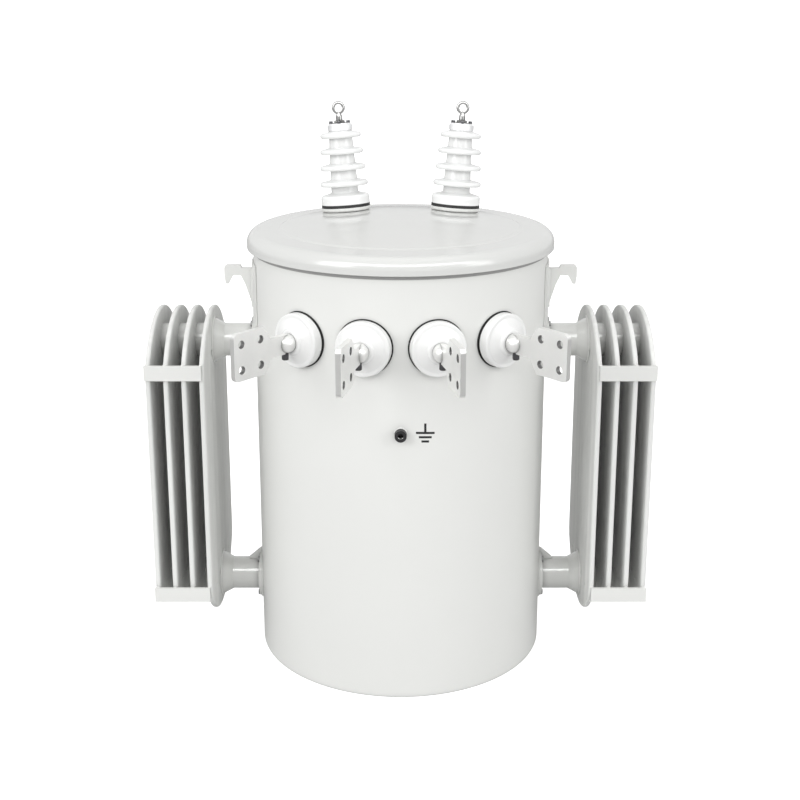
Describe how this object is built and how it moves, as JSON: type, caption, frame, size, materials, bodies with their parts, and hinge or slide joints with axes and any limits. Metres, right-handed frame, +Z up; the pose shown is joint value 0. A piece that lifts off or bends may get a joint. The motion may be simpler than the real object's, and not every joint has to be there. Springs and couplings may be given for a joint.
{
  "type": "pole-type distribution transformer",
  "caption": "Round oil-filled distribution transformer tank with domed cover, tall cover bushings, spade terminals on the front and a pressed-panel radiator on each side.",
  "frame": {"origin": "on the floor at the tank's vertical axis, at the middle of the bottom plate", "axes": "+Z up, -Y to the front (low-voltage terminals), +Y to the hanger brackets at the back, +X to the right seen from the front"},
  "size_m": [0.9266, 0.7801, 1.0442],
  "materials": {
    "tank_paint": "gloss light grey enamel",
    "porcelain": "glazed white porcelain",
    "rubber": "matt black nitrile",
    "tinned": "tin-plated, satin",
    "cap_metal": "cast, satin",
    "insulator": "moulded light grey epoxy"
  },
  "bodies": {
    "root": {"cover_gasket": "rubber", "ground_boss": "tank_paint", "hanger_bracket_lower": "tank_paint", "hanger_bracket_upper": "tank_paint", "hv_gaskets": "rubber", "hv_left_cap": "cap_metal", "hv_left_collar": "cap_metal", "hv_left_porcelain": "porcelain", "hv_left_terminal": "tinned", "hv_right_cap": "cap_metal", "hv_right_collar": "cap_metal", "hv_right_porcelain": "porcelain", "hv_right_terminal": "tinned", "lifting_lug_left": "tank_paint", "lifting_lug_right": "tank_paint", "lug_pads": "tank_paint", "lv_bushing_1": "insulator", "lv_bushing_2": "insulator", "lv_bushing_3": "insulator", "lv_bushing_4": "insulator", "lv_gaskets": "rubber", "lv_spade_1": "tinned", "lv_spade_2": "tinned", "lv_spade_3": "tinned", "lv_spade_4": "tinned", "radiator_left_bars": "tank_paint", "radiator_left_flanges": "tank_paint", "radiator_left_lower_header": "tank_paint", "radiator_left_panel_1": "tank_paint", "radiator_left_panel_2": "tank_paint", "radiator_left_panel_3": "tank_paint", "radiator_left_panel_4": "tank_paint", "radiator_left_upper_header": "tank_paint", "radiator_right_bars": "tank_paint", "radiator_right_flanges": "tank_paint", "radiator_right_lower_header": "tank_paint", "radiator_right_panel_1": "tank_paint", "radiator_right_panel_2": "tank_paint", "radiator_right_panel_3": "tank_paint", "radiator_right_panel_4": "tank_paint", "radiator_right_upper_header": "tank_paint", "tank_bottom": "tank_paint", "tank_cover": "tank_paint", "tank_shell": "tank_paint"}
  },
  "joints": []
}
